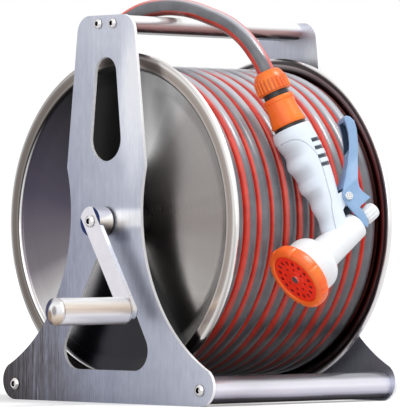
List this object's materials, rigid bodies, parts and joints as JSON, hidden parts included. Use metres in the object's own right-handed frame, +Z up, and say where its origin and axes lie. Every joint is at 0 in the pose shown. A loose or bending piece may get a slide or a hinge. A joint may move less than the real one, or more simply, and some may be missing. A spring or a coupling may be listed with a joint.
{
  "type": "hose reel",
  "caption": "Free-standing garden hose reel with sheet-steel side frames, a turning drum with crank, wound hose, click coupling and spray gun.",
  "frame": {"origin": "middle of the base, on the floor that the two side plates stand on", "axes": "+X along the axle away from the crank, +Y to the back, +Z up"},
  "size_m": [0.3644, 0.3505, 0.3588],
  "materials": {
    "frame_steel": "vertical fine grain",
    "drum_steel": "fine grain, bright rolled rim",
    "crank_steel": "fine grain",
    "bar_aluminium": "satin",
    "grip_aluminium": "satin, polished end",
    "screw_steel": "bright",
    "brass": "machined",
    "hose": "smooth, with lengthwise stripes",
    "seal_rubber": "smooth",
    "black_plastic": "smooth",
    "orange_plastic": "smooth",
    "red_plastic": "smooth",
    "pale_blue_plastic": "smooth",
    "blue_plastic": "smooth",
    "white_plastic": "smooth"
  },
  "bodies": {
    "frame": {"crank_side_plate": "frame_steel", "inlet_side_plate": "frame_steel", "carry_bar": "bar_aluminium", "carry_bar_screws": "screw_steel", "front_cross_bar": "bar_aluminium", "rear_cross_bar": "bar_aluminium", "cross_bar_plugs": "black_plastic", "cross_bar_screws": "screw_steel", "crank_bush": "black_plastic", "inlet_bush": "black_plastic", "hose_free_end": "hose", "coupling_body": "black_plastic", "coupling_nut": "orange_plastic", "gun_tail_nipple": "black_plastic", "gun_handle": "pale_blue_plastic", "gun_barrel": "white_plastic", "lever_bracket": "pale_blue_plastic", "valve_collar": "black_plastic", "lever_pin": "white_plastic"},
    "drum": {"crank_flange": "drum_steel", "inlet_flange": "drum_steel", "drum_core": "drum_steel", "flange_screws": "screw_steel", "crank_stub": "screw_steel", "water_stub": "brass", "barb_elbow": "brass", "hose_tail": "hose", "hose_inner_layers": "hose", "hose_winding": "hose", "crank_hub": "crank_steel", "crank_arm": "crank_steel", "crank_screw": "screw_steel", "grip_spindle": "screw_steel", "grip_washer": "crank_steel", "inlet_seals": "seal_rubber"},
    "grip": {"crank_grip": "grip_aluminium", "grip_cap": "grip_aluminium"},
    "inlet": {"inlet_elbow": "brass", "inlet_clip": "screw_steel", "inlet_nipple": "brass"},
    "sleeve": {"coupling_sleeve": "orange_plastic"},
    "lever": {"gun_lever": "blue_plastic"},
    "stem": {"valve_stem": "screw_steel"},
    "knob": {"flow_knob": "white_plastic"},
    "dial": {"spray_dial": "orange_plastic", "dial_face": "red_plastic", "dial_screw": "screw_steel"}
  },
  "joints": [
    {"name": "drum_turn", "type": "hinge", "parent": "frame", "child": "drum", "pos_m": [0, 0, 0.16], "axis": [1, 0, 0], "continuous": true},
    {"name": "grip_turn", "type": "hinge", "parent": "drum", "child": "grip", "pos_m": [-0.133, -0.048, 0.08198], "axis": [1, 0, 0], "continuous": true},
    {"name": "inlet_swivel", "type": "hinge", "parent": "frame", "child": "inlet", "pos_m": [0.1156, 0, 0.16], "axis": [1, 0, 0], "continuous": true},
    {"name": "sleeve_slide", "type": "slide", "parent": "frame", "child": "sleeve", "axis": [-0.2276, 0.3396, 0.9126], "range_m": [0, 0.0035], "stiffness_N_per_m": 800, "springref_m": -0.003},
    {"name": "lever_pull", "type": "hinge", "parent": "frame", "child": "lever", "pos_m": [0.01481, -0.16902, 0.17931], "axis": [-0.3029, -0.9154, 0.2651], "range_deg": [0, 18], "stiffness_Nm_per_rad": 1.2, "springref_deg": -14.32},
    {"name": "stem_pull", "type": "slide", "parent": "frame", "child": "stem", "axis": [0.808, -0.0992, 0.5807], "range_m": [0, 0.0078]},
    {"name": "knob_turn", "type": "hinge", "parent": "stem", "child": "knob", "pos_m": [0.03582, -0.17947, 0.16723], "axis": [-0.808, 0.0992, -0.5807], "range_deg": [0, 360]},
    {"name": "dial_turn", "type": "hinge", "parent": "frame", "child": "dial", "pos_m": [-0.0369, -0.17054, 0.11496], "axis": [-0.808, 0.0992, -0.5807], "continuous": true}
  ],
  "couplings": [
    {"joint": "stem_pull", "follows": "lever_pull", "m_per_rad": 0.024}
  ]
}
